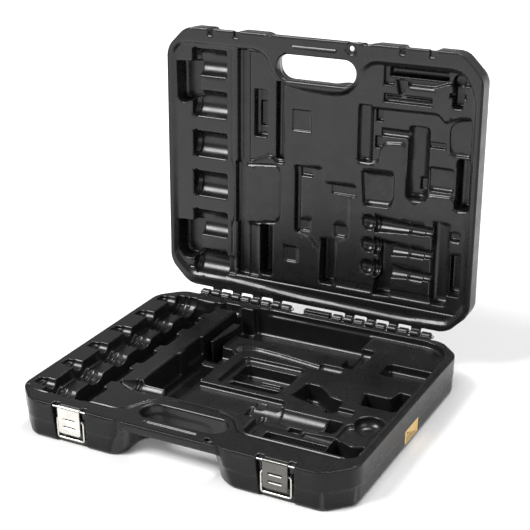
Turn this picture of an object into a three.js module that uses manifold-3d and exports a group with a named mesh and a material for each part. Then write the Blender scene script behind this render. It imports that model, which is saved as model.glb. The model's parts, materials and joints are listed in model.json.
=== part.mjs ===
// Empty carrying case for a socket wrench set: two blow-moulded halves on a rear hinge,
// two over-centre latches. Millimetres, +Z up, +X along the hinge, +Y towards the hinge.
import * as THREE from 'three';
import { mergeVertices } from 'three/addons/utils/BufferGeometryUtils.js';
import Module from 'manifold-3d';

const wasm = await Module();
wasm.setup();

// ---- driving dimensions -------------------------------------------------------------
const W = 450;               // case width, along the hinge
const D = 368;               // case depth, front edge to rear edge
const BASE_H = 50.6;         // base height: underside to parting plane
const LID_H = 34;            // lid height: parting plane to outer face
const OPEN_DEG = 92.2;       // lid angle from closed in the rest pose
const CORNER = 30;           // corner chamfer leg
const WALL = 3;              // moulded wall thickness
const SKIN = 2.4;            // wall of the pocket wells
const SPLIT = { x: 104, x1: 297, y: 75, rear: 140 }; // where the base's walls divide into nodes
const RIM = 4;               // rim plate thickness
const LAND = 6;              // flat of the rim between an edge and the nearest recess
const GAP = 0.35;            // clearance between neighbouring nodes
const FACE = 0.15;           // each half's rim face stands this far off the parting plane

const HINGE_Y = D / 2 + 8.7; // hinge axis behind the rear edge
const HINGE_DROP = 1;        // hinge axis below the parting plane
const KNUCKLE_R = 5.4, PIN_R = 2, KNUCKLE_PITCH = 16, KNUCKLE_LEN = 13.4;
const HINGE_SPANS = [[52, 196], [258, 402]];
const STOP = { x0: 216, x1: 256, back0: 3, back1: 12, low: -9, high: 4.6 }; // lid rests on this block
const BRACKET = 9;           // depth of the roots that tie hinge features to the rear wall

const GRIP = {
  x0: 158, x1: 290, depth: 62, round: 24, thick: 12.6, holeLen: 113, holeWide: 34, holeY: 41,
};
const PADLOCK = { x: 273.5, y: 8.4, r: 3.6, deep: 20 };

const LATCH_X = [87.5, 362.5];
const LATCH = {
  recess: 47, deep: 8, slot: 7.5, slotDeep: 9, lidTab: 7, baseSetback: 5.6,
  pinY: 2.9, pinZ: BASE_H - 3.1, pinR: 1.3, pinEnd: 2.5,
};
const LEVER = {
  wide: 31, drop: 36.4, roll: 2.5, sheet: 1.4, ear: 5.6, earHalf: 5, ribR: 1, ribs: [9, 19], lip: 3.2,
};
const BAIL = { wire: 1.3, pivotY: 3.7, pivotZ: BASE_H - 17.6, reach: 26, half: 18.6, stub: 2.6 };

const DRAFT = 1.5;           // how far the side walls lean in
const BASE_ROUND = 5, LID_ROUND = 8;
const LABEL = { long: 41, tall: 19, thick: 0.4, y: 189, z: 15.5 };

const SOCKETS = { count: 6, first: 46.5, pitch: 56.8, r: 18.5 };
const socketY = Array.from({ length: SOCKETS.count }, (_, i) => SOCKETS.first + i * SOCKETS.pitch);

// ---- helpers ------------------------------------------------------------------------
// Plan positions are measured from the front left corner of the case.
const px = (x) => x - W / 2;
const py = (y) => y - D / 2;

function solid(geometry) {
  const g = geometry.index ? geometry.toNonIndexed() : geometry;
  g.deleteAttribute('normal');
  g.deleteAttribute('uv');
  const m = mergeVertices(g, 1e-4);
  return new wasm.Manifold(new wasm.Mesh({
    numProp: 3,
    vertProperties: new Float32Array(m.attributes.position.array),
    triVerts: new Uint32Array(m.index.array),
  }));
}

const union = (parts) => parts.reduce((a, b) => a.add(b));
const cut = (body, parts) => body.subtract(union(parts));

function toGeometry(manifold) {
  const mesh = manifold.getMesh();
  const g = new THREE.BufferGeometry();
  g.setAttribute('position', new THREE.BufferAttribute(new Float32Array(mesh.vertProperties), 3));
  g.setIndex(new THREE.BufferAttribute(new Uint32Array(mesh.triVerts), 1));
  const flat = g.toNonIndexed();
  flat.computeVertexNormals();
  return flat;
}

function box(x0, x1, y0, y1, z0, z1) {
  const g = new THREE.BoxGeometry(x1 - x0, y1 - y0, Math.abs(z1 - z0));
  g.translate((x0 + x1) / 2, (y0 + y1) / 2, (z0 + z1) / 2);
  return solid(g);
}

function rodX(x0, x1, y, z, r, segments = 16) {
  const g = new THREE.CylinderGeometry(r, r, x1 - x0, segments);
  g.rotateZ(Math.PI / 2);
  g.translate((x0 + x1) / 2, y, z);
  return solid(g);
}

function rodZ(x, y, z0, z1, r, segments = 16) {
  const g = new THREE.CylinderGeometry(r, r, Math.abs(z1 - z0), segments);
  g.rotateX(Math.PI / 2);
  g.translate(x, y, (z0 + z1) / 2);
  return solid(g);
}

// Plan outline with chamfered corners, each chamfer end rounded.
function caseOutline(inset = 0) {
  const hx = W / 2 - inset, hy = D / 2 - inset, c = CORNER - inset * 0.59, r = 5;
  const s = new THREE.Shape();
  const pts = [[-hx + c, -hy], [hx - c, -hy], [hx, -hy + c], [hx, hy - c],
    [hx - c, hy], [-hx + c, hy], [-hx, hy - c], [-hx, -hy + c]];
  pts.forEach((p, i) => {
    const a = pts[(i + 7) % 8], b = pts[(i + 1) % 8];
    const along = (q) => {
      const len = Math.hypot(q[0] - p[0], q[1] - p[1]);
      return [p[0] + (q[0] - p[0]) * r / len, p[1] + (q[1] - p[1]) * r / len];
    };
    const [from, to] = [along(a), along(b)];
    if (i === 0) {
      s.moveTo(...from);
    } else {
      s.lineTo(...from);
    }
    s.quadraticCurveTo(...p, ...to);
  });
  s.closePath();
  return s;
}

function roundedRect(x0, x1, y0, y1, r) {
  const s = new THREE.Shape();
  const centres = [[x1 - r, y0 + r], [x1 - r, y1 - r], [x0 + r, y1 - r], [x0 + r, y0 + r]];
  centres.forEach(([cx, cy], i) => s.absarc(cx, cy, r, (i - 1) * Math.PI / 2, i * Math.PI / 2));
  return s;
}

// One half of the case. Depth d is measured from the parting plane into the half,
// so the base uses z = -d and the lid z = +d until each is moved to its place.
class Half {
  constructor(side, height) {
    this.side = side;
    this.height = height;
  }

  z(d) { return this.side * d; }

  // Stack of outlines: levels are [depth, inset] pairs.
  loft(shape, levels) {
    const ordered = this.side < 0 ? [...levels].reverse() : levels;
    const g = new THREE.ExtrudeGeometry(shape, {
      depth: levels.length - 1, steps: levels.length - 1, bevelEnabled: false, curveSegments: 3,
    });
    const p = g.attributes.position;
    for (let i = 0; i < p.count; i++) {
      const [d, inset] = ordered[Math.round(p.getZ(i))];
      p.setXYZ(i, p.getX(i) * (1 - inset / (W / 2)), p.getY(i) * (1 - inset / (D / 2)), this.z(d));
    }
    return solid(g);
  }

  block(x0, x1, y0, y1, d0, d1) {
    return box(px(x0), px(x1), py(y0), py(y1), this.z(d0), this.z(d1));
  }

  // Recesses return the space they empty and the well of material round it.
  pocket(x0, x1, y0, y1, d) {
    return {
      space: this.block(x0, x1, y0, y1, -1, d),
      well: this.block(x0 - SKIN, x1 + SKIN, y0 - SKIN, y1 + SKIN, FACE, d + SKIN),
    };
  }

  troughX(x0, x1, y, r, axis = 0) {
    const rod = (e) => rodX(px(x0 - e), px(x1 + e), py(y), this.z(axis), r + e);
    const above = (e) => this.block(x0 - e, x1 + e, y - r - e, y + r + e, -1, axis);
    return {
      space: axis > 0 ? rod(0).add(above(0)) : rod(0),
      well: (axis > 0 ? rod(SKIN).add(above(SKIN)) : rod(SKIN))
        .intersect(this.block(-1, W + 1, -1, D + 1, FACE, axis + r + 3 * SKIN)),
    };
  }

  cup(x, y, r, d) {
    return {
      space: rodZ(px(x), py(y), this.z(-1), this.z(d), r),
      well: rodZ(px(x), py(y), this.z(FACE), this.z(d + SKIN), r + SKIN),
    };
  }

  gripBay(e) {
    return this.loft(
      roundedRect(px(GRIP.x0 - e), px(GRIP.x1 + e), py(-GRIP.depth), py(GRIP.depth + e), GRIP.round + e),
      [[-2, 0], [this.height + 2, 0]]);
  }

  gripHole() {
    const { holeLen: len, holeWide: wide, holeY: y } = GRIP;
    const mid = (GRIP.x0 + GRIP.x1) / 2;
    return this.loft(roundedRect(px(mid - len / 2), px(mid + len / 2),
      py(y - wide / 2), py(y + wide / 2), wide / 2), [[-2, 0], [this.height + 2, 0]]);
  }

  padlockHole() {
    return rodZ(px(PADLOCK.x), py(PADLOCK.y), this.z(-2), this.z(PADLOCK.deep), PADLOCK.r, 12);
  }

  // Outer wall: an open tub with a bay behind the handle bar.
  outerWall(roundover) {
    const h = this.height;
    const levels = [[RIM + GAP, 0], [h - roundover, DRAFT],
      [h - roundover * 0.35, DRAFT + roundover * 0.3], [h, DRAFT + roundover]];
    const inner = levels.map(([d, inset]) => [Math.min(d, h - WALL), inset + WALL]);
    inner[0][0] = 0;
    return this.loft(caseOutline(), levels).subtract(this.gripBay(0))
      .subtract(this.loft(caseOutline(), inner.slice(0, 3)).subtract(this.gripBay(WALL)));
  }

  handleBar(fit) {
    const bar = this.loft(caseOutline(), [[RIM + GAP, 0], [GRIP.thick, 0.8]]);
    return cut(bar.intersect(this.gripBay(fit)), [this.gripHole(), this.padlockHole()]);
  }

  // Inner wall: rim plate with the pocket wells hanging from it.
  innerWall(recesses) {
    const reach = this.height - WALL - GAP;
    const room = this.loft(caseOutline(),
      [[RIM - 1, WALL + DRAFT], [reach - 6, WALL + 3.5], [reach, WALL + 6]])
      .subtract(this.gripBay(WALL + GAP));
    const inRim = this.loft(caseOutline(), [[-2, LAND], [this.height, LAND]]);
    const wells = union(recesses.map((r) => r.well)).intersect(room);
    const spaces = union(recesses.map((r) => r.space)).intersect(inRim)
      .subtract(this.gripBay(LAND));
    const plate = this.loft(caseOutline(), [[FACE, 0.6], [0.8, 0], [RIM, 0]]);
    return cut(plate.add(wells), [spaces, this.gripHole(), this.padlockHole()]);
  }
}

// Transform that swings a lid-side body from closed to the open rest pose.
const openLid = (manifold) => manifold.translate([0, -HINGE_Y, HINGE_DROP])
  .rotate([-OPEN_DEG, 0, 0]).translate([0, HINGE_Y, BASE_H - HINGE_DROP]);
const placeBase = (manifold) => manifold.translate([0, 0, BASE_H]);

// ---- recesses -----------------------------------------------------------------------
function baseRecesses(b) {
  const sockets = socketY.flatMap((y) => [
    b.troughX(31, 64, y, SOCKETS.r, 1), b.troughX(9, 33, y, 8),
    b.troughX(88, 97, y, SOCKETS.r, 1)]);
  return [
    ...sockets,
    b.pocket(31, 92, 28, 346, 11),        // rack floor between the sockets
    b.pocket(60, 92, 28, 346, 38),        // finger channel
    b.troughX(112, 165, 88, 11),          // drive end seat
    b.pocket(130, 160, 100, 346, 38),     // long channel by the divider
    b.pocket(158, 437, 80, 362, 10),      // tray
    b.pocket(302, 437, 43, 82, 10),
    b.pocket(162, 437, 272, 358, 42),     // rear compartment
    b.troughX(262, 392, 108, 18, 6),      // ratchet handle
    b.pocket(292, 345, 142, 188, 30),     // ratchet head
    b.troughX(190, 352, 238, 9, 12),      // extension bar
    b.pocket(215, 285, 160, 205, 22),     // square block seat
    b.pocket(376, 432, 172, 214, 30),
    b.pocket(383, 436, 262, 270, 22),
    b.cup(418, 134, 15, 24),
    b.pocket(400, 432, 46, 86, 34),
    b.pocket(318, 396, 58, 76, 22),
  ];
}

function lidRecesses(l) {
  const sockets = socketY.map((y) => l.troughX(35, 91, y, SOCKETS.r, 1));
  return [
    ...sockets,
    l.pocket(15, 52, 46, 100, 27), l.pocket(15, 52, 270, 330, 27),
    l.pocket(107, 127, 24, 340, 14),      // channel beside the rack
    l.pocket(128, 180, 46, 172, 12),      // ratchet
    l.pocket(132, 155, 76, 140, 24),
    l.pocket(124, 172, 265, 338, 14),
    l.pocket(143, 163, 265, 336, 26),
    l.pocket(192, 242, 172, 258, 12),     // tool pocket
    l.pocket(234, 254, 262, 335, 22),
    l.pocket(282, 305, 78, 150, 12),
    l.pocket(290, 339, 165, 217, 12),
    l.pocket(316, 395, 27, 46, 22),
    l.pocket(317, 383, 61, 72, 8),
    l.pocket(408, 427, 34, 70, 22),
    l.pocket(352, 382, 99, 194, 20),
    l.pocket(382, 418, 149, 176, 10),
    l.pocket(418, 438, 134, 203, 27),
    l.troughX(298, 392, 233, 8, 4), l.troughX(298, 392, 264, 8, 4), l.troughX(298, 392, 294, 8, 4),
    l.pocket(313, 337, 260, 334, 20),
    l.pocket(392, 421, 218, 330, 18),
    l.pocket(418, 433, 259, 321, 24),
  ];
}

// ---- halves -------------------------------------------------------------------------
function knuckles(side, phase) {
  const y = HINGE_Y, axis = -HINGE_DROP;
  const lengths = HINGE_SPANS.flatMap(([x0, x1]) => {
    const n = Math.round((x1 - x0) / KNUCKLE_PITCH);
    return Array.from({ length: n }, (_, i) => i).filter((i) => i % 2 === phase)
      .map((i) => x0 + i * KNUCKLE_PITCH + (KNUCKLE_PITCH - KNUCKLE_LEN) / 2);
  });
  const arm = side < 0 ? axis - KNUCKLE_R : axis + KNUCKLE_R;
  return union(lengths.flatMap((x) => {
    const [a, b] = [px(x), px(x + KNUCKLE_LEN)];
    return [rodX(a, b, y, axis, KNUCKLE_R), box(a, b, D / 2 + GAP, y, side * GAP, arm),
      ...hingeRoot(side, a, b)];
  }));
}

// Bracket that ties a hinge feature to the rear wall, clear of the rim plate.
function hingeRoot(side, a, b) {
  return [box(a, b, D / 2 + GAP, D / 2 + 4, side * GAP, side * BRACKET),
    box(a, b, D / 2 - 2, D / 2 + 2, side * (RIM + GAP), side * BRACKET)];
}

const hingeBores = () => union(HINGE_SPANS.map(([x0, x1]) =>
  rodX(px(x0 - 3), px(x1 + 3), HINGE_Y, -HINGE_DROP, PIN_R + GAP, 16)));

// The latch recess leaves a tab of rim between two slots, its face set back from the wall.
function latchCuts(half, tabSetback, recessFrom) {
  const h = LATCH.recess / 2, past = half.height + 1;
  return LATCH_X.flatMap((x) => [
    half.block(x - h, x - h + LATCH.slot, -4, LATCH.slotDeep, -1, past),
    half.block(x + h - LATCH.slot, x + h, -4, LATCH.slotDeep, -1, past),
    half.block(x - h, x + h, -4, tabSetback, -1, recessFrom + 1),
    half.block(x - h, x + h, -4, LATCH.deep, recessFrom, past),
  ]);
}

// Walls that line the latch recesses, so cutting them leaves the tub closed.
const latchLining = (half) => LATCH_X.map((x) => half.block(
  x - LATCH.recess / 2 - WALL, x + LATCH.recess / 2 + WALL, 1, LATCH.deep + WALL,
  RIM + GAP, half.height - WALL));

const latchPin = (x, z, beyond, r) => rodX(px(x - LATCH.recess / 2 - beyond),
  px(x + LATCH.recess / 2 + beyond), py(LATCH.pinY), z, r, 12);

function makeBase() {
  const base = new Half(-1, BASE_H);
  const pinBores = LATCH_X.map((x) => latchPin(
    x, LATCH.pinZ - BASE_H, LATCH.pinEnd + 1.5, LATCH.pinR + GAP));
  const [a, b] = [px(STOP.x0), px(STOP.x1)];
  const stop = box(a, b, D / 2 + STOP.back0, D / 2 + STOP.back1, STOP.low, STOP.high);
  const trim = latchCuts(base, LATCH.baseSetback, RIM);
  const solids = [base.outerWall(BASE_ROUND), ...latchLining(base), knuckles(-1, 0), stop,
    ...hingeRoot(-1, a, b)];
  const outer = cut(union(solids), [...trim, ...pinBores, hingeBores()]);
  const inner = cut(base.innerWall(baseRecesses(base)), [...trim, ...pinBores]);
  const nodes = {
    ...splitOuter(base, outer), handle_bar: base.handleBar(-GAP), ...splitInner(base, inner),
  };
  return Object.entries(nodes).map(([name, part]) => [`base_${name}`, placeBase(part)]);
}

// The base's outer wall in three, so that no node wraps round the grip bay.
function splitOuter(base, outer) {
  const slab = (a, b, y0, y1) => base.block(a, b, y0, y1, -BRACKET, BASE_H + 1);
  const back = D + BRACKET * 2;
  const { x0, x1 } = GRIP;
  return {
    left_shell: outer.intersect(slab(-1, x0, -1, SPLIT.y).add(slab(-1, SPLIT.rear, -1, back))),
    bay_shell: outer.intersect(slab(x0 + GAP, x1 - GAP, -1, back)
      .add(slab(SPLIT.rear + GAP, x1 - GAP, SPLIT.y + GAP, back))),
    right_shell: outer.intersect(slab(x1, W + 1, -1, back)),
  };
}

// The base's inner wall in three: socket rack, plate round the grip hole, tool tray.
function splitInner(base, inner) {
  const { x, x1, y } = SPLIT;
  const slab = (a, b, y0, y1) => base.block(a, b, y0, y1, -1, BASE_H);
  const plate = slab(x + GAP, x1, -1, y);
  return {
    rack_wall: inner.intersect(slab(-1, x, -1, D + 1)),
    grip_plate: inner.intersect(plate),
    tray_wall: inner.intersect(slab(x + GAP, W + 1, -1, D + 1))
      .subtract(slab(x, x1 + GAP, -2, y + GAP)),
  };
}

function makeLid() {
  const lid = new Half(1, LID_H);
  const trim = latchCuts(lid, -1, LATCH.lidTab);
  const tub = lid.outerWall(LID_ROUND).add(lid.handleBar(1));
  const outer = cut(union([tub, ...latchLining(lid), knuckles(1, 1)]), [...trim, hingeBores()]);
  const inner = cut(lid.innerWall(lidRecesses(lid)), trim);
  return [['lid_outer_wall', openLid(outer)], ['lid_inner_wall', openLid(inner)]];
}

// ---- hardware -----------------------------------------------------------------------
function hingePin([x0, x1]) {
  return rodX(px(x0 - 2), px(x1 + 2), HINGE_Y, BASE_H - HINGE_DROP, PIN_R, 16);
}

const pivotPin = (x) => latchPin(x, LATCH.pinZ, LATCH.pinEnd, LATCH.pinR);

// Stamped lever plate, its top edge rolled round the pivot pin, ears for the bail.
function leverPlate(x) {
  const { wide, drop, roll, sheet, ear, earHalf, ribR, ribs, lip } = LEVER;
  const y = py(LATCH.pinY), front = y - roll, bottom = BASE_H - drop;
  const [a, b] = [px(x - wide / 2), px(x + wide / 2)];
  const earPlate = (e) => box(e, e + sheet, front, front + ear,
    BAIL.pivotZ - earHalf, BAIL.pivotZ + earHalf);
  const rib = (up) => rodX(a + 4, b - 4, front + ribR / 5, bottom + up, ribR, 10);
  const plate = union([
    rodX(a, b, y, LATCH.pinZ, roll), box(a, b, front, front + sheet, bottom, LATCH.pinZ),
    earPlate(a), earPlate(b - sheet), ...ribs.map(rib),
    box(a, b, front, front + lip, bottom, bottom + sheet),
  ]);
  return cut(plate, [rodX(a - 1, b + 1, y, LATCH.pinZ, LATCH.pinR + GAP, 12),
    rodX(a - 1, b + 1, py(BAIL.pivotY), BAIL.pivotZ, BAIL.wire + GAP, 12)]);
}

// Wire bail: a U of wire whose ends turn inwards through the lever's ears.
function wireBail(x) {
  const { wire, pivotY, pivotZ, reach, half, stub } = BAIL;
  const y = py(pivotY), foot = pivotZ - reach;
  const [a, b] = [px(x - half), px(x + half)];
  const inner = LEVER.wide / 2 - stub;
  const bend = (bx, bz) => {
    const g = new THREE.SphereGeometry(wire, 10, 6);
    g.translate(bx, y, bz);
    return solid(g);
  };
  return union([
    rodX(a, px(x - inner), y, pivotZ, wire, 12), rodX(px(x + inner), b, y, pivotZ, wire, 12),
    rodZ(a, y, foot, pivotZ, wire, 12), rodZ(b, y, foot, pivotZ, wire, 12),
    rodX(a, b, y, foot, wire, 12), bend(a, foot), bend(b, foot), bend(a, pivotZ), bend(b, pivotZ),
  ]);
}

// Sticker on the right-hand wall, following the wall's draft.
function sideLabel() {
  const tilt = DRAFT / (BASE_H - BASE_ROUND - RIM - GAP);
  const g = new THREE.BoxGeometry(LABEL.thick, LABEL.long, LABEL.tall);
  g.rotateY(Math.atan(tilt));
  const wall = W / 2 - tilt * (BASE_H - RIM - GAP - LABEL.z);
  g.translate(wall + GAP + LABEL.thick / 2, py(LABEL.y), LABEL.z);
  return solid(g);
}

// ---- materials and assembly ---------------------------------------------------------
const plastic = new THREE.MeshStandardMaterial({ color: 0x2b2b2d, roughness: 0.55, metalness: 0 });
const nickel = new THREE.MeshStandardMaterial({ color: 0xd8d6d0, roughness: 0.25, metalness: 1 });
const steel = new THREE.MeshStandardMaterial({ color: 0xa9a9ab, roughness: 0.35, metalness: 1 });
const sticker = new THREE.MeshStandardMaterial({ color: 0xe8b45c, roughness: 0.6, metalness: 0 });

const caseSet = new THREE.Group();
function add(name, manifold, material) {
  const mesh = new THREE.Mesh(toGeometry(manifold), material);
  mesh.name = name;
  caseSet.add(mesh);
}

[...makeBase(), ...makeLid()].forEach(([name, part]) => add(name, part, plastic));
['left', 'right'].forEach((where, i) => {
  add(`hinge_pin_${where}`, hingePin(HINGE_SPANS[i]), steel);
  add(`latch_lever_${where}`, leverPlate(LATCH_X[i]), nickel);
  add(`latch_bail_${where}`, wireBail(LATCH_X[i]), nickel);
  add(`latch_pivot_pin_${where}`, pivotPin(LATCH_X[i]), steel);
});
add('side_label', sideLabel(), sticker);

export default caseSet;
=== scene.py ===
"""Empty carrying case for a socket wrench set, standing open: its looks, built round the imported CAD.

The two halves are one moulding each, made as a distance field in the half's own plan: millimetres,
x from the left side, y from the front edge, d from the parting plane into the half.
"""
import json
import math

import bmesh
import bpy
import numpy as np
import openvdb
from mathutils import Matrix, Vector


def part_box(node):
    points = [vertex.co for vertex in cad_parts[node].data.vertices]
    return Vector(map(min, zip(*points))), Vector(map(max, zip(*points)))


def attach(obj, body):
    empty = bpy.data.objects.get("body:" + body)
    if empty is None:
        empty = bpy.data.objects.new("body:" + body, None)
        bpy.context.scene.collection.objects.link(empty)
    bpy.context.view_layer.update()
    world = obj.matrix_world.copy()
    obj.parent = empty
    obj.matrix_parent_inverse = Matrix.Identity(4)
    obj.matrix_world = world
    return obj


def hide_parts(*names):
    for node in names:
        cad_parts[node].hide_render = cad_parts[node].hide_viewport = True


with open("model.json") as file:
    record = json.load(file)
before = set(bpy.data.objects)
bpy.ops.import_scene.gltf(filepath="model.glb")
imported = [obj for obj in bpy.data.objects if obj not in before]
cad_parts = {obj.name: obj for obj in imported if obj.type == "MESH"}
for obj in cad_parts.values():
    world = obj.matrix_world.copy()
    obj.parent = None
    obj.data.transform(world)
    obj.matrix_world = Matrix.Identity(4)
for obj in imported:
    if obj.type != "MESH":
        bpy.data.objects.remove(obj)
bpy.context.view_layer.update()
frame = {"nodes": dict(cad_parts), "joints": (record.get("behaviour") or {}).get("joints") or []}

# ---- dimensions, in millimetres -------------------------------------------------------
MM = 0.001
BASE_WALLS = [name for name in frame["nodes"] if name.startswith("base_")]
LID_WALLS = [name for name in frame["nodes"] if name.startswith("lid_")]
RACK_LO, RACK_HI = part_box("base_rack_wall")
TRAY_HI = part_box("base_tray_wall")[1]
LID_JOINT = next(j for j in frame["joints"] if j["name"] == "lid_hinge")
OPEN = math.radians(LID_JOINT["range_deg"][1])
HINGE = Vector(LID_JOINT["pos_m"])

W = (TRAY_HI.x - RACK_LO.x) / MM
D = (RACK_HI.y - RACK_LO.y) / MM
BASE_H = 50.6
LID_H = 34.0
FACE = 0.15                    # the rim faces stop this short of the parting plane
CORNER = 30.0                  # corner chamfer leg
CORNER_ROUND = 8.0
LOWER_STEP = 0.9               # the walls' lower half stands back by this
DRAFT = 1.5                    # how far the side walls lean in
POCKET_LEAN = 0.05             # lean of a pocket's walls
ABOVE = -9.0                   # a recess is open up to this depth, well clear of the rim
VOXEL = 1.1                    # grid step of a moulding
GRIP = dict(x0=158, x1=290, back=60, round=18, thick=12.6, hole=(167.5, 280.5), hole_y=41, hole_r=17)

HINGE_Y = HINGE.y / MM + D / 2  # from the front edge
HINGE_DROP = BASE_H - HINGE.z / MM
KNUCKLE = dict(r=5.4, pitch=16, length=13.4, bore=2.35, spans=((52, 196), (258, 402)))
STOP = (216, 256)              # block that the open lid rests against

LATCH_X = (87.5, 362.5)
LATCH = dict(recess=47, slot=7.5, lid_tab=7, base_tab=4, setback=5.6)
PIN = dict(y=2.9, d=3.1, r=1.3)
LEVER = dict(half=15.5, drop=36.4, roll=2.5, sheet=1.4)
GROOVE = dict(half=9, r=1.8, up=(9, 19))
BAIL = dict(wire=1.3, y=3.7, d=17.6, reach=26, half=18.6, bend=3.6)
PLAY = 0.35                    # room round a pin or wire in its hole
LABEL = dict(y=189, z=15.5, long=41, tall=19)

SOCKET_Y = [46.5 + 56.8 * i for i in range(6)]
SOCKET_R = 18.5
HANDLE_Y = (235, 266, 297)     # the three tapered handles in the lid
RACK_FLOOR = 14.0              # this depth and the next four are below the parting plane
TRAY = 10.0
DEEP = 40.0
FRONT_TRAY = 17.0
LID_GROUND = 4.4
HOLE_X = 273.5                 # small round hole through both rims, beside the grip
HOLE_Y = 8.4


# ---- distance shapes -------------------------------------------------------------------
# From pocket() on, a shape is its lowest corner, its highest corner and the distance to it.
def both(a, b, r=0.0):
    """Distance to what two shapes share, its outer edges rounded to radius r."""
    if r <= 0:
        return np.maximum(a, b)
    outside = np.hypot(np.maximum(a + r, 0), np.maximum(b + r, 0))
    return np.minimum(np.maximum(a, b), -r) + outside


def either(a, b, r=0.0):
    """Distance to two shapes together, the inner corner between them filled to radius r."""
    return -both(-a, -b, r)


def span(v, lo, hi):
    """Distance to the stretch from lo to hi along one axis."""
    return np.maximum(lo - v, v - hi)


def pocket(x0, x1, y0, y1, depth, corner=4.0, floor=2.5, top=ABOVE):
    """A recess with leaning walls, rounded corners and a filleted floor."""
    def dist(x, y, d):
        lean = POCKET_LEAN * d
        plan = both(span(x, x0, x1) + lean, span(y, y0, y1) + lean, corner)
        return both(plan, span(d, top, depth), floor)
    return (x0, y0, top), (x1, y1, depth), dist


def trough(x0, x1, y, r, axis=0.0, end=1.5):
    """A round-bottomed recess along x, open above its axis."""
    def dist(px, py, d):
        across = np.where(d > axis, np.hypot(py - y, d - axis), np.abs(py - y)) - r
        return both(both(across, span(px, x0, x1), end), ABOVE - d)
    return (x0, y - r, ABOVE), (x1, y + r, axis + r), dist


def rod(x0, x1, yc, dc, r, end=0.0):
    """A bar along x."""
    def dist(x, y, d):
        return both(np.hypot(y - yc, d - dc) - r, span(x, x0, x1), end)
    return (x0, yc - r, dc - r), (x1, yc + r, dc + r), dist


def block(x0, x1, y0, y1, d0, d1, r, corner=0.0):
    """A bar with rounded edges, and corners of its own radius seen from the front."""
    def dist(x, y, d):
        face = both(span(x, x0, x1), span(d, d0, d1), max(corner, r))
        return both(face, span(y, y0, y1), r)
    return (x0, y0, d0), (x1, y1, d1), dist


def turned(shape):
    """The same recess with its x and y exchanged."""
    lo, hi, dist = shape
    return (lo[1], lo[0], lo[2]), (hi[1], hi[0], hi[2]), lambda x, y, d: dist(y, x, d)


def cone(x0, x1, y, r0, r1, axis=0.0):
    """A round-bottomed recess along x that widens from r0 to r1."""
    def dist(px, py, d):
        r = r0 + (r1 - r0) * np.clip((px - x0) / (x1 - x0), 0, 1)
        across = np.where(d > axis, np.hypot(py - y, d - axis), np.abs(py - y)) - r
        return both(across * 0.9, span(px, x0, x1), 1.0)
    big = max(r0, r1)
    return (x0, y - big, ABOVE), (x1, y + big, axis + big), dist


def cup(cx, cy, r, depth, floor=3.0, top=ABOVE):
    """A round recess."""
    def dist(x, y, d):
        return both(np.hypot(x - cx, y - cy) - r + POCKET_LEAN * d, span(d, top, depth), floor)
    return (cx - r, cy - r, top), (cx + r, cy + r, depth), dist


def rounded(points, r, closed=True):
    """The same outline with each corner eased to about radius r."""
    pts = [np.array(p, float) for p in points]
    path = []
    for i, p in enumerate(pts):
        if not closed and i in (0, len(pts) - 1):
            path.append(p)
            continue
        before = pts[i - 1] - p
        after = pts[(i + 1) % len(pts)] - p
        ease = min(r, np.hypot(*before) * 0.49, np.hypot(*after) * 0.49)
        start = p + before * ease / np.hypot(*before)
        stop = p + after * ease / np.hypot(*after)
        for t in (0, 0.25, 0.5, 0.75, 1):
            path.append((1 - t) ** 2 * start + 2 * t * (1 - t) * p + t ** 2 * stop)
    return path


def path_distance(x, y, pts, closed=False):
    """Distance to a path in the plane."""
    near = None
    for a, b in zip(pts, pts[1:] + pts[:1] if closed else pts[1:]):
        u = b - a
        t = np.clip(((x - a[0]) * u[0] + (y - a[1]) * u[1]) / max(u @ u, 1e-9), 0, 1)
        away = np.hypot(x - a[0] - t * u[0], y - a[1] - t * u[1])
        near = away if near is None else np.minimum(near, away)
    return near


def inside(x, y, pts):
    """Whether points lie within a closed path."""
    odd = np.zeros(np.broadcast(x, y).shape, bool)
    for a, b in zip(pts, pts[1:] + pts[:1]):
        if a[1] == b[1]:
            continue
        crosses = (a[1] > y) != (b[1] > y)
        odd ^= crosses & (x < a[0] + (y - a[1]) * (b[0] - a[0]) / (b[1] - a[1]))
    return odd


def region(points, depth, r=3.0, floor=2.5, top=ABOVE):
    """A recess with any outline."""
    pts = rounded(points, r)
    def dist(x, y, d):
        away = path_distance(x, y, pts, True)
        plan = np.where(inside(x, y, pts), -away, away) + POCKET_LEAN * d
        return both(plan, span(d, top, depth), floor)
    lo = np.min(pts, 0)
    hi = np.max(pts, 0)
    return (lo[0], lo[1], top), (hi[0], hi[1], depth), dist


def line(points, r, level=0.0, closed=False):
    """A round bead or groove of radius r along a path at depth level."""
    pts = rounded(points, 8.0, closed)
    def dist(x, y, d):
        return np.hypot(path_distance(x, y, pts, closed), d - level) - r
    lo = np.min(pts, 0)
    hi = np.max(pts, 0)
    return (lo[0] - r, lo[1] - r, level - r), (hi[0] + r, hi[1] + r, level + r), dist


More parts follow.
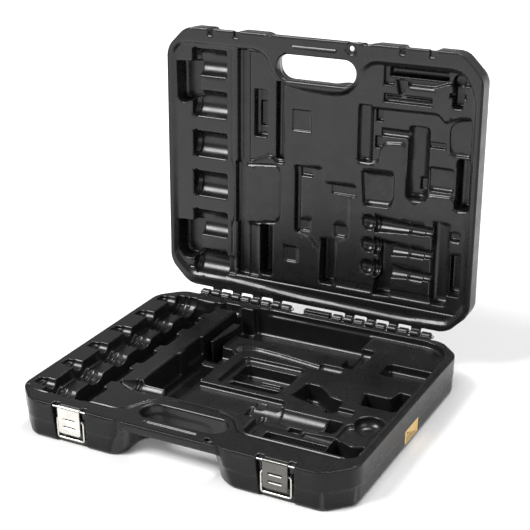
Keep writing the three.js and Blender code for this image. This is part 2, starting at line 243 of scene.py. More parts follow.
# ---- one moulded half -----------------------------------------------------------------
class Field:
    """Distance to a solid on a regular grid, negative inside the material.

    adaptive, from 0 to 1, is how readily the mesh's nearly flat faces merge.
    """

    def __init__(self, low, high, voxel, adaptive):
        self.low = np.array(low, float)
        self.voxel = voxel
        self.adaptive = adaptive
        counts = np.ceil((np.array(high) - self.low) / voxel).astype(int) + 1
        self.axes = [self.low[i] + voxel * np.arange(counts[i]) for i in range(3)]
        self.f = np.full(counts, 9.0, np.float32)

    def grid(self, slices=(slice(None),) * 3):
        """The x, y and d of the grid's points, each along its own axis."""
        x, y, d = (a[s].astype(np.float32) for a, s in zip(self.axes, slices))
        return x[:, None, None], y[None, :, None], d[None, None, :]

    def window(self, lo, hi, reach):
        """Slices of the grid that hold a box and its surroundings."""
        margin = reach + 2 * self.voxel
        cut = []
        for axis, a, b in zip(self.axes, lo, hi):
            i, j = np.searchsorted(axis, [a - margin, b + margin])
            cut.append(slice(int(i), int(j)))
        return tuple(cut)

    def cut(self, shape, edge=1.6):
        """Take a shape away, its outer edge rounded."""
        lo, hi, dist = shape
        w = self.window(lo, hi, edge)
        self.f[w] = both(self.f[w], -dist(*self.grid(w)), edge)

    def add(self, shape, root=1.2):
        """Join a shape on, its root filleted."""
        lo, hi, dist = shape
        w = self.window(lo, hi, root)
        self.f[w] = either(self.f[w], dist(*self.grid(w)), root)

    def mesh(self):
        """Vertices in plan millimetres, faces, and outward normals read from the field."""
        field = openvdb.FloatGrid(self.voxel)
        field.copyFromArray(np.ascontiguousarray(self.f, np.float32))
        points, tris, quads = field.convertToPolygons(0.0, self.adaptive)
        normals = field_normals(self.f, points)
        return points * self.voxel + self.low, [*tris.tolist(), *quads.tolist()], normals


class Moulding(Field):
    """One half of the case."""

    def __init__(self, height):
        super().__init__((-3, -3, -8), (W + 3, HINGE_Y + 9, height + 2), VOXEL, 0.05)
        self.height = height


def field_normals(f, points):
    """Unit gradient of the field at index-space points."""
    at = np.clip(points, 1, np.array(f.shape) - 2.001)
    grads = []
    for axis in range(3):
        step = np.zeros(3)
        step[axis] = 0.5
        grads.append(sample(f, at + step) - sample(f, at - step))
    g = np.stack(grads, 1)
    return g / np.maximum(np.linalg.norm(g, axis=1, keepdims=True), 1e-9)


def sample(f, at):
    """Trilinear values of the field at index-space points."""
    i = np.clip(np.floor(at).astype(int), 0, np.array(f.shape) - 2)
    t = at - i
    total = 0.0
    for corner in range(8):
        o = np.array([corner >> 2 & 1, corner >> 1 & 1, corner & 1])
        weight = np.prod(np.where(o, t, 1 - t), axis=1)
        j = i + o
        total = total + weight * f[j[:, 0], j[:, 1], j[:, 2]]
    return total


def outline(x, y):
    """Plan distance to the case's edge, corners chamfered and softened."""
    ax = np.abs(x - W / 2)
    ay = np.abs(y - D / 2)
    slant = (ax + ay - (W / 2 + D / 2 - CORNER)) / math.sqrt(2)
    return both(both(ax - W / 2, slant, CORNER_ROUND), ay - D / 2, CORNER_ROUND)


def grip_bay(x, y, d):
    """Plan distance to the finger space behind the handle; its sides close in towards the bar."""
    closing = 11.0 * np.clip(1 - d / BASE_H, 0, 1)
    left = GRIP["x0"] + closing - x
    right = (x - (GRIP["x1"] - closing)) * 0.9 + np.maximum(y - 6, 0) * 0.42
    return both(both(left, right, 4), y - GRIP["back"], GRIP["round"])


def shell(m, roundover, step):
    """The plain half: side walls, outer face, finger bay and the handle bar across it."""
    x, y, d = m.grid()
    edge = outline(x, y)
    wall = edge + DRAFT * np.clip(d / m.height, 0, 1) + step * np.clip(d - m.height * 0.5, 0, 1)
    bay = grip_bay(x, y, d)
    body = both(both(wall, -bay, 20.0), d - m.height, roundover)
    bar = both(both(edge + 0.05 * d, bay - 8.0), d - GRIP["thick"], 3.0)
    m.f = both(either(body, bar, 5.0), FACE - d, 1.3).astype(np.float32)


def grip_hole(m):
    """The long round-ended hole that the hand goes through."""
    x0, x1 = GRIP["hole"]
    r = GRIP["hole_r"]
    yc = GRIP["hole_y"]
    def dist(x, y, d):
        along = np.maximum(span(x, x0 + r, x1 - r), 0)
        return np.hypot(along, y - yc) - r + 0 * d
    m.cut(((x0, yc - r, ABOVE), (x1, yc + r, m.height - ABOVE), dist), 3.0)


def latch_recesses(m, setback, tab):
    """Two slots and a set-back face at each latch; the tab of rim between the slots stays."""
    h = LATCH["recess"] / 2
    slot = LATCH["slot"]
    deep = m.height - ABOVE
    for x in LATCH_X:
        m.cut(pocket(x - h, x - h + slot, -9, 9, deep, 1.5, 0), 1.2)
        m.cut(pocket(x + h - slot, x + h, -9, 9, deep, 1.5, 0), 1.2)
        m.cut(pocket(x - h, x + h, -9, 8, deep, 1.5, 1.0, tab), 1.2)
        if setback > 0:
            m.cut(pocket(x - h, x + h, -9, setback, tab + 2, 1.0, 0), 1.0)


def hinge_side(m, axis, phase):
    """Every second knuckle of the hinge, each on an arm from the rear wall."""
    r = KNUCKLE["r"]
    for x0, x1 in KNUCKLE["spans"]:
        for i in range(phase, round((x1 - x0) / KNUCKLE["pitch"]), 2):
            a = x0 + i * KNUCKLE["pitch"] + (KNUCKLE["pitch"] - KNUCKLE["length"]) / 2
            b = a + KNUCKLE["length"]
            m.add(pocket(a, b, D - 2, HINGE_Y, axis + r, 0.8, 0.8, 0.4), 0.6)
            m.add(pocket(a, b, D - 2, D + 4, 9, 1, 1, 0.4), 0.6)
            m.add(rod(a, b, HINGE_Y, axis, r, 0.9), 0.6)
            m.cut(rod(a - 2, b + 2, HINGE_Y, axis, KNUCKLE["bore"]), 0.3)


# ---- base recesses ---------------------------------------------------------------------
def socket_rack(m):
    """Six seats for large sockets, with finger notches at the left and a deep channel at the right."""
    m.cut(pocket(31, 93, 26, 348, RACK_FLOOR, 5, 3))
    m.cut(pocket(56, 93, 26, 348, DEEP - 2, 5, 5))
    for y in SOCKET_Y:
        m.cut(trough(31, 60, y, SOCKET_R, 1.0))
        m.cut(trough(40, 44, y, SOCKET_R + 2.2, 1.0, 1.0), 0.8)
        m.cut(trough(49, 60, y, SOCKET_R + 1.8, 1.0, 1.0), 0.8)
        m.cut(pocket(9, 33, y - 8, y + 7, 5, 2, 1), 1.0)
        m.cut(trough(17, 33, y, 9.5), 1.2)
        m.cut(trough(88, 102, y, SOCKET_R + 1, 1.0, 5))


def drive_end_seat(m):
    """Seat with two collars at the front end of the divider."""
    m.cut(region([(119, 77), (174, 79), (166, 100), (119, 99)], 9, 4, 8), 1.2)
    m.cut(trough(128, 166, 88, 12.0), 1.2)
    m.cut(cone(105, 122, 88, 3.0, 12.0), 1.0)
    for x in (121, 126):
        m.cut(trough(x, x + 3, 88, 13.5), 0.6)


def base_tray(m):
    """The sunken ground right of the divider, and the long trench beside it."""
    ground = [(161, 80), (438, 80), (438, 326), (430, 348), (408, 361), (161, 362)]
    m.cut(region(ground, TRAY, 14, 3))
    m.cut(pocket(298, 438, 44, 90, TRAY, 9, 3))
    m.cut(pocket(161, 303, 82, 148, FRONT_TRAY, 6, 3))
    m.cut(pocket(131, 161, 100, 349, DEEP, 5, 5))
    m.cut(pocket(128, 182, 100, 188, DEEP - 8, 5, 5))
    m.cut(pocket(128, 184, 200, 244, DEEP - 14, 5, 4))
    m.cut(pocket(150, 326, 283, 360, DEEP, 7, 6))
    m.cut(pocket(98, 132, 333, 355, 16, 8, 8))
    m.cut(pocket(322, 346, 260, 322, TRAY + 12, 7, 7))
    post = [(140, 246), (145, 246), (153, 296), (152, 310), (140, 310)]
    m.add(region(post, DEEP, 2, 0, 6), 1.2)
    m.cut(trough(156, 276, 77.5, 2.2), 0.8)


def base_frame(m):
    """Raised band round the block of small bits, and the curved bar's seat behind it."""
    m.cut(pocket(200, 287, 157, 235, TRAY + 6, 8, 4), 1.4)
    m.cut(pocket(208, 283, 179, 225, TRAY + 22, 6, 4), 1.4)
    m.cut(pocket(212, 281, 163, 177, TRAY + 16, 4, 3), 1.2)
    m.add(line([(237, 211), (263, 211)], 2.2, TRAY + 20))
    curved_bar = [(180, 234), (182, 251), (200, 258), (240, 255), (300, 246)]
    m.cut(line(curved_bar, 5.6, TRAY - 0.5), 1.2)
    m.cut(trough(298, 330, 250, 8.5, TRAY, 3), 1.2)
    m.add(line([(326, 243), (326, 257)], 1.2, TRAY + 8.5), 0.8)


def ratchet_seat(m):
    """Round handle with collars, and the deep pocket for the head."""
    m.cut(trough(266, 309, 112, 21.5, 4.0, 4), 1.4)
    m.cut(trough(305, 370, 112, 18.0, 5.0), 1.2)
    m.cut(pocket(366, 388, 100, 130, DEEP - 8, 5, 5), 1.2)
    for x in (283, 288, 309):
        m.add(line([(x, 94), (x, 130)], 1.3, 24.6))
    m.cut(pocket(268, 283, 126, 142, TRAY + 9, 3, 2), 1.2)
    head = [(300, 165), (324, 158), (351, 150), (366, 160), (365, 178),
            (344, 182), (338, 190), (323, 202), (304, 202), (303, 188)]
    m.cut(region(head, DEEP - 6, 5, 5), 1.8)
    m.cut(pocket(354, 388, 143, 162, TRAY + 6, 3, 2), 1.2)


def base_right(m):
    """Recesses along the right-hand wall and in the front right corner."""
    m.cut(pocket(374, 436, 262, 297, TRAY + 12, 5, 4), 1.6)
    hooked = [(386, 178), (430, 178), (434, 190), (434, 228), (417, 229), (413, 209), (379, 209)]
    m.cut(region(hooked, TRAY + 22, 4, 4), 1.6)
    m.cut(cup(415, 140, 18, TRAY + 13, 9), 1.6)
    m.cut(pocket(392, 430, 90, 132, TRAY + 5, 10, 4), 1.4)
    corner_well = [(396, 46), (432, 46), (433, 90), (424, 86), (416, 84), (402, 90), (392, 92)]
    m.cut(region(corner_well, DEEP - 6, 5, 7), 1.8)
    m.cut(cone(356, 392, 84, 5.0, 8.5, TRAY), 1.2)
    m.cut(pocket(316, 394, 46, 72, TRAY + 9, 3, 2), 1.2)
    m.add(line([(322, 59), (390, 59)], 2.4, TRAY + 9), 1.0)
    m.cut(pocket(318, 360, 48, 55, TRAY + 15, 2, 2), 1.0)
    m.cut(pocket(336, 352, 82, 93, TRAY + 7, 1.5, 1), 1.0)


RIM_EDGE = [(8, 31), (14, 25), (30, 21.5), (57, 25), (137, 26), (152, 33), (160, 52), (172, 66),
            (196, 74), (222, 76), (258, 73), (279, 64), (290, 47), (304, 39), (330, 39), (424, 39)]


def base_rim(m):
    """Bead lines round the rim, the grip bar's groove and the small hole's collar."""
    m.cut(line(RIM_EDGE, 1.7, 0.1), 0.5)
    right_and_rear = [(424, 39), (440, 54), (442.5, 66), (442.5, 330), (424, 356), (400, 364), (130, 362)]
    m.cut(line(right_and_rear, 1.2, 0.1), 0.5)
    m.cut(line([(189, 13.5), (254, 13.5)], 2.6, 0), 0.6)
    m.add(cup(HOLE_X, HOLE_Y, 6.2, 3, 0, -0.9), 0.8)
    m.cut(cup(HOLE_X, HOLE_Y, 3.2, 99, 0), 1.0)


def lid_stop(m):
    """Block behind the rear wall that holds the open lid up."""
    m.add(pocket(*STOP, D + 3, D + 12, 9, 1.5, 1.5, -4.6), 0.6)
    m.add(pocket(*STOP, D - 2, D + 4, 9, 1.5, 1.5, 0.4), 0.6)


def make_base():
    m = Moulding(BASE_H)
    shell(m, 5.0, LOWER_STEP)
    socket_rack(m)
    base_tray(m)
    drive_end_seat(m)
    base_frame(m)
    ratchet_seat(m)
    base_right(m)
    base_rim(m)
    grip_hole(m)
    latch_recesses(m, LATCH["setback"], LATCH["base_tab"])
    hinge_side(m, HINGE_DROP, 0)
    lid_stop(m)
    return m


# ---- lid recesses ----------------------------------------------------------------------
LID_EDGE = [(8.5, 330), (8.5, 35), (21, 21.5), (136, 21), (151, 29), (157, 42), (164, 56), (180, 64),
            (204, 67.5), (246, 69), (267, 67), (281, 53), (290, 33), (303, 23), (414, 23), (428, 31),
            (436, 44), (441, 60), (441, 330), (421, 356), (356, 360), (208, 358), (102, 351), (32, 352)]


def lid_interior(m):
    """The ground inside the rim, stepped down with a rolled edge."""
    m.cut(region(LID_EDGE, LID_GROUND, 10, 4.0), 4.0)
    m.cut(line(LID_EDGE, 1.1, 0.2, True), 0.5)
    m.cut(line([(30, 343), (430, 343)], 1.4, LID_GROUND), 0.6)
    m.cut(line([(34, 334), (120, 334)], 1.2, LID_GROUND), 0.6)


def lid_rack(m):
    """The lid's side of the six socket seats, two finger pockets and the step beside them."""
    for y in SOCKET_Y:
        m.cut(trough(37, 91, y, SOCKET_R, 1.0, 3), 1.6)
        m.cut(trough(41, 44, y, SOCKET_R + 1.6, 1.0, 1.0), 0.8)
    upper_finger = [(12, 48), (48, 46), (50, 97), (22, 106), (13, 100)]
    lower_finger = [(11, 275), (48, 272), (50, 319), (33, 331), (20, 331), (11, 322)]
    m.cut(region(upper_finger, 28, 4, 4))
    m.cut(region(lower_finger, 28, 4, 4))
    m.cut(pocket(86, 104, 318, 345, 9, 2, 2), 1.2)
    m.cut(pocket(107, 124, 24, 182, 14, 3, 3))
    m.cut(pocket(104, 120, 178, 266, 14, 3, 3))
    m.cut(pocket(107, 124, 262, 343, 14, 3, 3))
    seam = [(99, 26), (99, 176), (103, 186), (103, 262), (99, 270), (99, 312)]
    m.cut(line(seam, 0.9, LID_GROUND), 0.5)


def lid_left_middle(m):
    """Recesses between the socket seats and the centre panel."""
    sunken = [(118, 25), (143, 26), (156, 41), (161, 54), (177, 62),
              (180, 171), (168, 173), (158, 165), (127, 177), (118, 170)]
    m.cut(region(sunken, 9, 4, 3))
    m.cut(pocket(130, 151, 75, 141, 20, 3, 3), 1.2)
    m.cut(pocket(134, 151, 92, 128, 25, 2, 2), 1.0)
    m.cut(pocket(163, 176, 62, 168, 20, 3, 3), 1.2)
    frame_line = [(124, 180), (168, 176), (173, 182), (173, 250), (168, 257), (124, 264)]
    m.cut(line(frame_line, 1.4, LID_GROUND), 0.6)
    m.cut(pocket(124, 141, 264, 341, 9, 3, 3), 1.4)
    m.cut(pocket(142, 162, 262, 336, 27, 4, 3), 1.2)
    m.cut(pocket(182, 199, 287, 309, 7, 2, 2), 1.0)


def lid_centre(m):
    """The centre panel's square and its stepped recess."""
    m.cut(pocket(190, 218, 96, 124, LID_GROUND + 2.4, 2, 1), 0.8)
    stepped = [(193, 177), (198, 172), (235, 170), (240, 189), (284, 188), (286, 203), (275, 206),
               (275, 262), (258, 271), (255, 331), (233, 333), (231, 284), (219, 271), (194, 265)]
    m.cut(region(stepped, 7, 4, 3), 1.8)
    m.cut(pocket(194, 203, 172, 265, 15, 3, 3), 1.2)
    m.cut(pocket(194, 221, 172, 186, 13, 3, 3), 1.0)
    m.cut(pocket(233, 254, 268, 333, 24, 4, 3), 1.2)
    m.cut(pocket(203, 219, 245, 263, 10, 2, 2), 1.0)
    m.cut(pocket(253, 272, 245, 263, 11, 3, 3), 1.0)
    m.cut(pocket(248, 284, 190, 204, 10, 2, 2), 1.0)


def lid_upper_right(m):
    """Small recesses in the lid's corner beside the grip."""
    sunken = [(317, 26), (424, 26), (431, 38), (432, 42), (403, 42), (384, 49),
              (351, 49), (349, 44), (334, 43), (329, 51), (317, 50)]
    m.cut(region(sunken, 12, 2, 2), 1.2)
    m.cut(pocket(322, 402, 28, 40, 23, 3, 4), 1.2)
    m.cut(region([(334, 42), (350, 42), (345, 62), (338, 62)], 13, 1, 2), 1.0)
    m.cut(pocket(318, 384, 61, 72, 11, 2, 2), 1.0)
    m.add(line([(322, 66), (380, 66)], 1.4, 10), 0.8)
    m.cut(cup(415.5, 38, 9.0, 22), 1.2)
    m.cut(pocket(409, 424, 40, 71, 20, 4, 3), 1.2)
    m.cut(pocket(405, 428, 52, 58, 15, 2, 2), 1.0)


def lid_right(m):
    """Sunken ground right of the centre panel, and the recesses in it."""
    ground = [(316, 81), (392, 80), (402, 90), (407, 87), (421, 82), (436, 81), (439, 201),
              (421, 204), (417, 186), (384, 187), (376, 197), (360, 198), (352, 189), (348, 124),
              (322, 126), (316, 136), (315, 150), (308, 154), (286, 154), (284, 82)]
    m.cut(region(ground, 7.5, 5, 3), 2.0)
    m.cut(turned(trough(79, 154, 294.5, 10.5, 5.0, 4)), 1.4)
    m.cut(pocket(307, 318, 83, 99, 15, 2, 2), 1.0)
    m.cut(pocket(307, 318, 118, 134, 14, 2, 2), 1.0)
    m.cut(trough(316, 356, 112, 5.5, 7.0), 1.0)
    m.cut(turned(trough(100, 195, 367.5, 14.5, 8.0, 5)), 1.6)
    m.cut(pocket(366, 378, 168, 186, 27, 2, 2), 1.0)
    m.cut(pocket(381, 404, 117, 125, 13, 2, 2), 1.0)
    m.cut(pocket(382, 417, 149, 181, 15, 5, 4), 1.2)
    side_panel = [(407, 96), (416, 86), (437, 82), (437, 132), (412, 132), (408, 122)]
    m.cut(region(side_panel, 11, 6, 3), 1.4)
    m.cut(pocket(419, 438, 134, 201, 28, 4, 4), 1.2)
    shallow_dish = [(290, 166), (337, 164), (338, 199), (332, 212), (294, 213)]
    m.cut(region(shallow_dish, 14, 7, 7), 1.8)
    m.cut(pocket(392, 416, 220, 334, 20, 5, 6), 1.4)
    m.cut(pocket(414, 430, 231, 243, 14, 3, 3), 1.0)
    m.cut(pocket(415, 433, 261, 318, 25, 3, 3), 1.2)
    m.cut(pocket(256, 311, 321, 334, 6, 3, 2), 1.0)
    m.cut(pocket(336, 394, 322, 334, 6, 3, 2), 1.0)


def tapered_handles(m):
    """Three screwdriver-like seats: a ball, a tapering grip, a collar and a shank."""
    for y in HANDLE_Y:
        m.cut(cup(304, y, 10.5, 13, 9), 1.4)
        m.cut(cone(312, 360, y, 11.5, 7.5, 4.5), 1.4)
        m.cut(trough(312, 317, y, 12.2, 4.5, 1.0), 0.8)
        m.cut(trough(358, 396, y, 6.0, 4.5, 1.0), 1.0)
        m.cut(trough(362, 382, y, 7.2, 4.5, 1.0), 0.8)
    finger_space = [(318, 262), (336, 261), (337, 334), (311, 335), (314, 312), (319, 307)]
    m.cut(region(finger_space, 21, 3, 3), 1.4)


def lid_rim(m):
    """The grip bar's bead and the small hole, widened where it meets the base's collar."""
    m.add(line([(191, 13.5), (252, 13.5)], 1.8, 0.6), 0.6)
    m.cut(cup(HOLE_X, HOLE_Y, 9.0, 99, 0, 5.0), 1.0)
    m.cut(cup(HOLE_X, HOLE_Y, 7.6, 1.6, 0), 0.6)
    m.cut(cup(HOLE_X, HOLE_Y, 3.4, 99, 0), 1.0)


def make_lid():
    m = Moulding(LID_H)
    shell(m, 8.0, 0.0)
    lid_interior(m)
    lid_rack(m)
    lid_left_middle(m)
    lid_centre(m)
    lid_upper_right(m)
    lid_right(m)
    tapered_handles(m)
    lid_rim(m)
    grip_hole(m)
    latch_recesses(m, 0, LATCH["lid_tab"])
    hinge_side(m, -HINGE_DROP, 1)
    return m


# ---- latches ---------------------------------------------------------------------------
def latch_lever(x):
    """Pressed lever: top rolled round its pin, folded sides, ears, two pressed grooves and a lip."""
    half = LEVER["half"]
    drop = LEVER["drop"]
    roll = LEVER["roll"]
    sheet = LEVER["sheet"]
    front = PIN["y"] - roll
    f = Field((x - half - 2, -2, -2), (x + half + 2, 9, drop + 2), 0.35, 0.01)
    f.add(block(x - half, x + half, front, front + sheet, PIN["d"], drop, 0.5, 2.5), 0)
    f.add(rod(x - half, x + half, PIN["y"], PIN["d"], roll, 0.5), 1.0)
    for side in (-1, 1):
        edge = sorted((x + side * half, x + side * (half - sheet)))
        f.add(block(*edge, front, front + 2.8, 4, drop - 3, 0.5), 0.5)
        f.add(block(*edge, front, front + 5.6, BAIL["d"] - 5, BAIL["d"] + 5, 0.6), 0.5)
    f.add(block(x - half + 3, x + half - 3, front, front + 3.2, drop - sheet, drop, 0.5), 0.5)
    for up in GROOVE["up"]:
        f.cut(rod(x - GROOVE["half"], x + GROOVE["half"], front - 0.6, drop - up, GROOVE["r"], 1.2), 0.3)
    f.cut(rod(x - half - 2, x + half + 2, PIN["y"], PIN["d"], PIN["r"] + PLAY), 0.2)
    f.cut(rod(x - half - 2, x + half + 2, BAIL["y"], BAIL["d"], BAIL["wire"] + PLAY), 0.2)
    return f


def latch_bail(x):
    """Wire loop whose ends turn in through the lever's ears."""
    half = BAIL["half"]
    inner = LEVER["half"] - 2.6
    head = BAIL["d"]
    foot = head + BAIL["reach"]
    points = [(x - inner, head), (x - half, head), (x - half, foot),
              (x + half, foot), (x + half, head), (x + inner, head)]
    path = rounded(points, BAIL["bend"], False)
    low = (x - half - 3, BAIL["y"] - 3, head - 3)
    high = (x + half + 3, BAIL["y"] + 3, foot + 3)
    f = Field(low, high, 0.4, 0.01)
    px, py, d = f.grid()
    f.f = (np.hypot(path_distance(px, d, path), py - BAIL["y"]) - BAIL["wire"]).astype(np.float32)
    return f


# ---- placing ---------------------------------------------------------------------------
def base_place():
    """Plan millimetres to the shared frame, for the base: d runs down."""
    flip = Matrix.Diagonal((MM, MM, -MM, 1))
    return Matrix.Translation((-W / 2 * MM, -D / 2 * MM, BASE_H * MM)) @ flip


def lid_place():
    """Plan millimetres to the shared frame, for the lid swung open about its hinge."""
    scale = Matrix.Diagonal((MM, MM, MM, 1))
    closed = Matrix.Translation((-W / 2 * MM, -D / 2 * MM, BASE_H * MM)) @ scale
    swing = Matrix.Rotation(-OPEN, 4, "X")
    return Matrix.Translation(HINGE) @ swing @ Matrix.Translation(-HINGE) @ closed


def new_object(name, mesh, body, slot, finish, *nodes):
    """A visible piece that moves with a body and takes the place of CAD nodes."""
    obj = bpy.data.objects.new(name, mesh)
    bpy.context.scene.collection.objects.link(obj)
    obj.data.materials.append(finish)
    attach(obj, body)
    if nodes:
        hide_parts(*nodes)
    return obj


def field_mesh(field, place, name):
    """The field's surface as a smooth-shaded mesh in the shared frame."""
    points, faces, normals = field.mesh()
    mesh = bpy.data.meshes.new(name)
    mesh.from_pydata(points.tolist(), [], faces)
    mesh.transform(place)
    if place.determinant() < 0:
        mesh.flip_normals()
    mesh.shade_smooth()
    facing = normals @ np.array(place.to_3x3()).T / MM
    mesh.normals_split_custom_set_from_vertices(facing.tolist())
    return mesh


# ---- sticker ---------------------------------------------------------------------------
def plate(bm, y0, y1, z0, z1, lift, thick, r):
    """A rounded plate on the sloping right-hand wall, lifted off it."""
    around = rounded([(y0, z0), (y1, z0), (y1, z1), (y0, z1)], r)
    rings = []
    for out, inset in ((0, 0), (thick * 0.6, 0), (thick, 0.12)):
        ring = []
        for y, z in around:
            y = np.clip(y, y0 + inset, y1 - inset)
            z = np.clip(z, z0 + inset, z1 - inset)
            wall = wall_x(z) + lift + out
            ring.append(bm.verts.new(((wall - W / 2) * MM, (y - D / 2) * MM, z * MM)))
        rings.append(ring)
    bm.faces.new(rings[0][::-1])
    bm.faces.new(rings[-1])
    n = len(around)
    for low, high in zip(rings, rings[1:]):
        for i in range(n):
            j = (i + 1) % n
            bm.faces.new((low[i], low[j], high[j], high[i]))


def label_plates():
    """The film, and the blank bars printed on it: one thick bar over four thin ones."""
    y0 = LABEL["y"] - LABEL["long"] / 2
    y1 = LABEL["y"] + LABEL["long"] / 2
    z0 = LABEL["z"] - LABEL["tall"] / 2
    z1 = LABEL["z"] + LABEL["tall"] / 2
    film = (y0, y1, z0, z1, 0.05, 0.4, 2.2)
    bars = [(y0 + 6, y1 - 6, z1 - 7.5, z1 - 3, 0.45, 0.05, 0.6)]
    for i in range(4):
        low = z0 + 2.2 + 2.2 * i
        bars.append((y0 + 4, y1 - 4 - 5 * (i % 2), low, low + 1, 0.45, 0.05, 0.3))
    return film, bars


def wall_x(z):
    """Plan position of the base's right-hand wall at height z."""
    d = BASE_H - z
    return W - DRAFT * d / BASE_H - LOWER_STEP * min(max(d - BASE_H / 2, 0), 1)


def sticker_mesh(name, *plates):
    """One mesh of several plates."""
    bm = bmesh.new()
    for spec in plates:
        plate(bm, *spec)
    mesh = bpy.data.meshes.new(name)
    bm.to_mesh(mesh)
    bm.free()
    return mesh


# ---- materials -------------------------------------------------------------------------
def material(name, **values):
    """A material, its node tree and its Principled shader."""
    mat = bpy.data.materials.new(name)
    mat.use_nodes = True
    bsdf = mat.node_tree.nodes["Principled BSDF"]
    for key, value in values.items():
        bsdf.inputs[key.replace("_", " ")].default_value = value
    return mat, mat.node_tree, bsdf


def noise(tree, scale, detail=3.0, stretch=(1, 1, 1)):
    """Noise in the object's own metres."""
    coords = tree.nodes.new("ShaderNodeTexCoord")
    mapping = tree.nodes.new("ShaderNodeMapping")
    mapping.inputs["Scale"].default_value = stretch
    texture = tree.nodes.new("ShaderNodeTexNoise")
    texture.inputs["Scale"].default_value = scale
    texture.inputs["Detail"].default_value = detail
    tree.links.new(coords.outputs["Object"], mapping.inputs["Vector"])
    tree.links.new(mapping.outputs["Vector"], texture.inputs["Vector"])
    return texture.outputs["Fac"]


def remap(tree, value, lo, hi, from_lo=0.3, from_hi=0.7):
    """The value taken from one range to another, and clamped."""
    node = tree.nodes.new("ShaderNodeMapRange")
    node.inputs["From Min"].default_value = from_lo
    node.inputs["From Max"].default_value = from_hi
    node.inputs["To Min"].default_value = lo
    node.inputs["To Max"].default_value = hi
    tree.links.new(value, node.inputs["Value"])
    return node.outputs["Result"]


def ramp(tree, value, *stops):
    """A colour read off (position, colour) stops."""
    node = tree.nodes.new("ShaderNodeValToRGB")
    elements = node.color_ramp.elements
    for i, (at, colour) in enumerate(stops):
        element = elements[i] if i < 2 else elements.new(at)
        element.position = at
        element.color = (*colour, 1)
    tree.links.new(value, node.inputs["Fac"])
    return node.outputs["Color"]


def bump(tree, bsdf, height, strength, distance):
    """Fine relief on a shader, from a height value."""
    node = tree.nodes.new("ShaderNodeBump")
    node.inputs["Strength"].default_value = strength
    node.inputs["Distance"].default_value = distance
    tree.links.new(height, node.inputs["Height"])
    tree.links.new(node.outputs["Normal"], bsdf.inputs["Normal"])


def mix_colours(tree, fac, a, b):
    node = tree.nodes.new("ShaderNodeMix")
    node.data_type = "RGBA"
    tree.links.new(fac, node.inputs["Factor"])
    tree.links.new(a, node.inputs["A"])
    tree.links.new(b, node.inputs["B"])
    return node.outputs["Result"]


def calculate(tree, operation, *values):
    """One step of arithmetic on values in the node tree."""
    node = tree.nodes.new("ShaderNodeMath")
    node.operation = operation
    for value, socket in zip(values, node.inputs):
        tree.links.new(value, socket)
    return node.outputs["Value"]


def outer_walls(tree):
    """1 on the grained outside of the side walls, front wall and front corners, 0 elsewhere."""
    coords = tree.nodes.new("ShaderNodeTexCoord")
    axes = tree.nodes.new("ShaderNodeSeparateXYZ")
    tree.links.new(coords.outputs["Object"], axes.inputs["Vector"])
    y = axes.outputs["Y"]
    from_middle = calculate(tree, "ABSOLUTE", axes.outputs["X"])
    slant = calculate(tree, "SUBTRACT", from_middle, y)
    side = remap(tree, from_middle, 0, 1, (W / 2 - 3.6) * MM, (W / 2 - 2.6) * MM)
    front = remap(tree, y, 0, 1, (3.6 - D / 2) * MM, (2.6 - D / 2) * MM)
    corner_at = W / 2 + D / 2 - CORNER
    corner = remap(tree, slant, 0, 1, (corner_at - 5) * MM, (corner_at - 4) * MM)
    return calculate(tree, "MAXIMUM", calculate(tree, "MAXIMUM", side, front), corner)


def make_plastic():
    """Black polyethylene: satin inside, duller on the grained outside, with a painted highlight that
    makes convex edges paler.
    """
    mat, tree, bsdf = material("black_polyethylene")
    grained = outer_walls(tree)
    tree.links.new(remap(tree, grained, 0.5, 0.2, 0, 1), bsdf.inputs["Specular IOR Level"])
    cloud = noise(tree, 14.0)
    body = ramp(tree, cloud, (0.3, (0.0070, 0.0068, 0.0069)), (0.7, (0.010, 0.0098, 0.0098)))
    # painted highlight: a paler colour for convex edges, standing in for light caught on their rounding
    painted_edge_highlight = ramp(tree, cloud, (0.3, (0.030, 0.0295, 0.029)), (0.7, (0.045, 0.044, 0.043)))
    geometry = tree.nodes.new("ShaderNodeNewGeometry")
    # mask for the painted edge highlight: 1 on convex edges, 0 on flat and hollow ones
    edges = remap(tree, geometry.outputs["Pointiness"], 0.0, 1.0, 0.53, 0.64)
    tree.links.new(mix_colours(tree, edges, body, painted_edge_highlight), bsdf.inputs["Base Color"])
    tree.links.new(remap(tree, noise(tree, 60.0), 0.24, 0.33), bsdf.inputs["Roughness"])
    bump(tree, bsdf, noise(tree, 1400.0, 2.0), 0.05, 0.0003)
    return mat


def make_nickel(name, shade):
    """Nickel plate over pressed steel, faintly drawn along its height; a shade below 1 darkens the colour
    as painted shade.
    """
    mat, tree, bsdf = material(name, Metallic=1.0)
    light = np.array([0.74, 0.72, 0.68]) * shade
    dark = np.array([0.62, 0.60, 0.56]) * shade
    brushed = noise(tree, 900.0, 2.0, (1, 1, 0.05))
    colour = ramp(tree, noise(tree, 60.0), (0.3, dark.tolist()), (0.7, light.tolist()))
    tree.links.new(colour, bsdf.inputs["Base Color"])
    tree.links.new(remap(tree, brushed, 0.22, 0.36), bsdf.inputs["Roughness"])
    bump(tree, bsdf, brushed, 0.08, 0.0002)
    return mat


def make_steel():
    """Plain drawn wire for the hinge rods and latch pins."""
    mat, tree, bsdf = material("drawn_steel", Metallic=1.0)
    drawn = noise(tree, 700.0, 2.0, (0.05, 1, 1))
    colour = ramp(tree, drawn, (0.3, (0.20, 0.20, 0.21)), (0.7, (0.32, 0.32, 0.33)))
    tree.links.new(colour, bsdf.inputs["Base Color"])
    tree.links.new(remap(tree, drawn, 0.26, 0.42), bsdf.inputs["Roughness"])
    return mat


def make_label():
    """Orange-yellow film, faintly uneven."""
    mat, tree, bsdf = material("label_film")
    colour = ramp(tree, noise(tree, 220.0), (0.3, (0.80, 0.50, 0.14)), (0.7, (0.86, 0.57, 0.20)))
    tree.links.new(colour, bsdf.inputs["Base Color"])
    tree.links.new(remap(tree, noise(tree, 90.0), 0.35, 0.5), bsdf.inputs["Roughness"])
    return mat


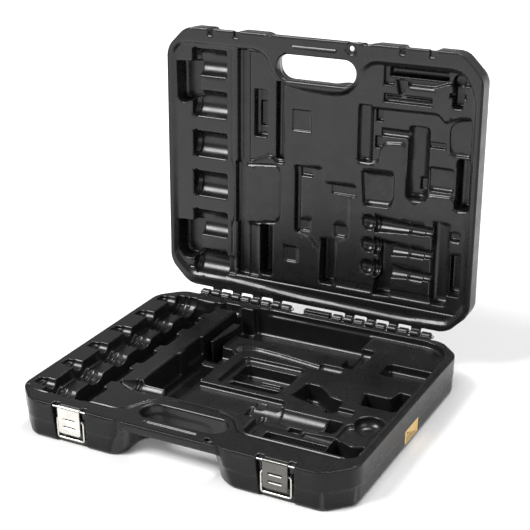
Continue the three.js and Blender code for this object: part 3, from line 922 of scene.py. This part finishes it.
def make_ink():
    """Dark brown print."""
    mat, tree, bsdf = material("label_ink")
    colour = ramp(tree, noise(tree, 300.0), (0.3, (0.05, 0.035, 0.02)), (0.7, (0.09, 0.06, 0.035)))
    tree.links.new(colour, bsdf.inputs["Base Color"])
    tree.links.new(remap(tree, noise(tree, 90.0), 0.4, 0.55), bsdf.inputs["Roughness"])
    return mat


PLASTIC = make_plastic()
STEEL = make_steel()
LABEL_FILM = make_label()
INK = make_ink()
NICKEL = make_nickel("nickel_plate", 1.0)
# the same nickel with painted shade: its colour darkened to a fifth for the right lever
NICKEL_PAINTED_SHADE = make_nickel("nickel_plate_painted_shade", 0.2)

# ---- pieces ----------------------------------------------------------------------------
def add_half(name, moulding, place, body, nodes):
    new_object(name, field_mesh(moulding, place, name), body, "case_plastic", PLASTIC, *nodes)


def add_latch_part(name, field, finish):
    mesh = field_mesh(field, base_place(), f"{name}_piece")
    new_object(f"{name}_piece", mesh, name, "latch_nickel", finish, f"latch_{name}")


def add_label():
    film, bars = label_plates()
    new_object("sticker", sticker_mesh("sticker", film), "base", "label_orange", LABEL_FILM, "side_label")
    new_object("sticker_print", sticker_mesh("sticker_print", *bars), "base", "label_orange", INK)


add_half("base_moulding", make_base(), base_place(), "base", BASE_WALLS)
add_half("lid_moulding", make_lid(), lid_place(), "lid", LID_WALLS)
# the right lever takes the nickel with painted shade; the left lever and both bails take the plain nickel
for side, x, finish in (("left", LATCH_X[0], NICKEL), ("right", LATCH_X[1], NICKEL_PAINTED_SHADE)):
    add_latch_part(f"lever_{side}", latch_lever(x), finish)
    add_latch_part(f"bail_{side}", latch_bail(x), NICKEL)
add_label()

for name, node in frame["nodes"].items():
    node.data.materials.clear()
    node.data.materials.append(STEEL if "pin" in name else PLASTIC)


# ---- stage, lights and camera ----------------------------------------------------------
def emission_world(strength):
    world = bpy.data.worlds.new("studio")
    bpy.context.scene.world = world
    world.use_nodes = True
    background = world.node_tree.nodes["Background"]
    background.inputs["Color"].default_value = (1, 1, 1, 1)
    background.inputs["Strength"].default_value = strength


def floor():
    """A wide pale disc that the case stands on."""
    mesh = bpy.data.meshes.new("floor")
    bm = bmesh.new()
    bmesh.ops.create_circle(bm, cap_ends=True, radius=60.0, segments=96)
    bm.to_mesh(mesh)
    bm.free()
    obj = bpy.data.objects.new("floor", mesh)
    bpy.context.scene.collection.objects.link(obj)
    mat = material("pale_floor", Roughness=0.9, Base_Color=(0.95, 0.95, 0.95, 1))[0]
    obj.data.materials.append(mat)


def soft_sun(name, direction, strength, spread):
    """Even light from one direction, as from a wide softbox: spread is its angle in degrees."""
    light = bpy.data.lights.new(name, "SUN")
    light.energy = strength
    light.angle = math.radians(spread)
    obj = bpy.data.objects.new(name, light)
    obj.rotation_euler = Vector(direction).to_track_quat("Z", "Y").to_euler()
    bpy.context.scene.collection.objects.link(obj)


def camera():
    """A long lens at the case's front right and a little above it, framed on the open case."""
    azimuth = math.radians(27.94)
    elevation = math.radians(21.92)
    roll = math.radians(-0.75)
    target = Vector((0.360 * W, -0.1369 * W - D / 2, 0.6842 * W)) * MM
    back = Vector((math.sin(azimuth) * math.cos(elevation), -math.cos(azimuth) * math.cos(elevation),
                   math.sin(elevation)))
    right = Vector((0, 0, 1)).cross(back).normalized()
    up = back.cross(right)
    rolled_right = right * math.cos(roll) + up * math.sin(roll)
    rolled_up = up * math.cos(roll) - right * math.sin(roll)
    facing = Matrix((rolled_right, rolled_up, back)).transposed().to_4x4()
    cam = bpy.data.cameras.new("camera")
    cam.sensor_width = 36
    cam.lens = 87.2
    obj = bpy.data.objects.new("camera", cam)
    obj.matrix_world = Matrix.Translation(target + back * 2.7546 * W * MM) @ facing
    bpy.context.scene.collection.objects.link(obj)
    bpy.context.scene.camera = obj


floor()
emission_world(0.27)
soft_sun("key", (-0.65, -0.65, 1.0), 3.1, 26)
soft_sun("side", (0.9, -0.15, 0.8), 0.8, 40)
soft_sun("top", (0.05, 0.5, 1.0), 1.7, 22)
camera()
bpy.context.scene.view_settings.view_transform = "Standard"
